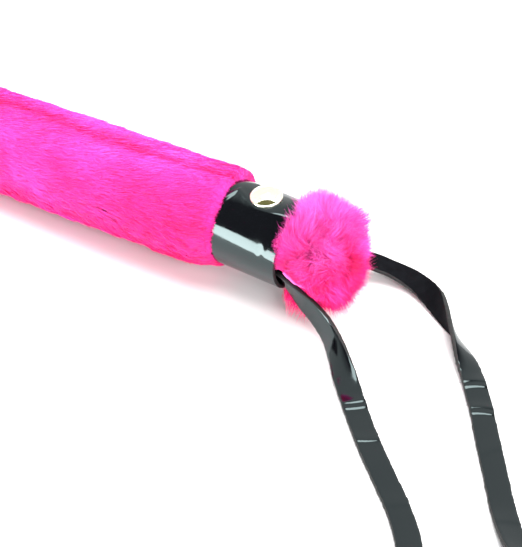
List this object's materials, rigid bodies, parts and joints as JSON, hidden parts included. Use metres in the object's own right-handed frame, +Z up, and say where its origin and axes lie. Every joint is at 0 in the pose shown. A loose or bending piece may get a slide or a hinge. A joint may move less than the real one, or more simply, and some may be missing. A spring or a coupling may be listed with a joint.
{
  "type": "riding crop",
  "caption": "Riding crop with a plush grip, leather collars with a riveted band, a fur pompom at the butt, a leather wrist loop, a braided shaft and a stitched tongue.",
  "frame": {"origin": "on the surface the crop lies on, under the middle of the crop's length", "axes": "+X along the crop towards its butt end, +Y to its side, +Z up"},
  "size_m": [0.7779, 0.1507, 0.0376],
  "materials": {
    "shaft_rod": "satin",
    "shaft_braid": "gloss",
    "thread": "satin",
    "handle_tube": "satin",
    "plug": "satin",
    "foam": "matte",
    "plush": "matte",
    "pompom_fur": "matte",
    "pompom_ball": "matte",
    "patent_leather": "gloss",
    "strap_leather": "gloss",
    "brass": "polished",
    "steel": "satin",
    "ferrule": "satin"
  },
  "bodies": {
    "handle": {"shaft_rod_1": "shaft_rod", "shaft_braid_1": "shaft_braid", "butt_plug": "plug", "front_plug": "plug", "handle_core_tube": "handle_tube", "foam_sleeve": "foam", "fur_sleeve": "plush", "butt_collar": "patent_leather", "front_collar": "patent_leather", "rivet_caps": "brass", "rivet_bases": "brass", "front_ferrule": "ferrule", "front_whipping": "thread", "pompom_ball": "pompom_ball", "pompom_screw": "steel", "pompom_fur": "pompom_fur", "wrist_strap": "strap_leather"},
    "shaft_2": {"shaft_rod_2": "shaft_rod", "shaft_braid_2": "shaft_braid"},
    "shaft_3": {"shaft_rod_3": "shaft_rod", "shaft_braid_3": "shaft_braid"},
    "shaft_4": {"shaft_rod_4": "shaft_rod", "shaft_braid_4": "shaft_braid"},
    "shaft_5": {"shaft_rod_5": "shaft_rod", "shaft_braid_5": "shaft_braid", "tongue_neck_upper": "patent_leather", "tongue_neck_lower": "patent_leather", "tip_whipping": "thread"},
    "tongue": {"tongue_upper_leaf": "patent_leather", "tongue_lower_leaf": "patent_leather", "tongue_stitches": "thread"}
  },
  "joints": [
    {"name": "shaft_flex_1", "type": "hinge", "parent": "handle", "child": "shaft_2", "pos_m": [0.06011, 0, 0.01323], "axis": [0, 1, 0], "range_deg": [-5, 5], "stiffness_Nm_per_rad": 6},
    {"name": "shaft_flex_2", "type": "hinge", "parent": "shaft_2", "child": "shaft_3", "pos_m": [-0.02486, 0, 0.01076], "axis": [0, 1, 0], "range_deg": [-5, 5], "stiffness_Nm_per_rad": 4.5},
    {"name": "shaft_flex_3", "type": "hinge", "parent": "shaft_3", "child": "shaft_4", "pos_m": [-0.10982, 0, 0.00828], "axis": [0, 1, 0], "range_deg": [-5, 5], "stiffness_Nm_per_rad": 3.2},
    {"name": "shaft_flex_4", "type": "hinge", "parent": "shaft_4", "child": "shaft_5", "pos_m": [-0.19479, 0, 0.0058], "axis": [0, 1, 0], "range_deg": [-5, 5], "stiffness_Nm_per_rad": 2.2},
    {"name": "tongue_flex", "type": "hinge", "parent": "shaft_5", "child": "tongue", "pos_m": [-0.2692, 0, 0.00133], "axis": [0, 1, 0], "range_deg": [-60, 60], "stiffness_Nm_per_rad": 0.03}
  ],
  "couplings": [
    {"joint": "shaft_flex_2", "follows": "shaft_flex_1", "ratio": 1},
    {"joint": "shaft_flex_3", "follows": "shaft_flex_1", "ratio": 1},
    {"joint": "shaft_flex_4", "follows": "shaft_flex_1", "ratio": 1}
  ]
}
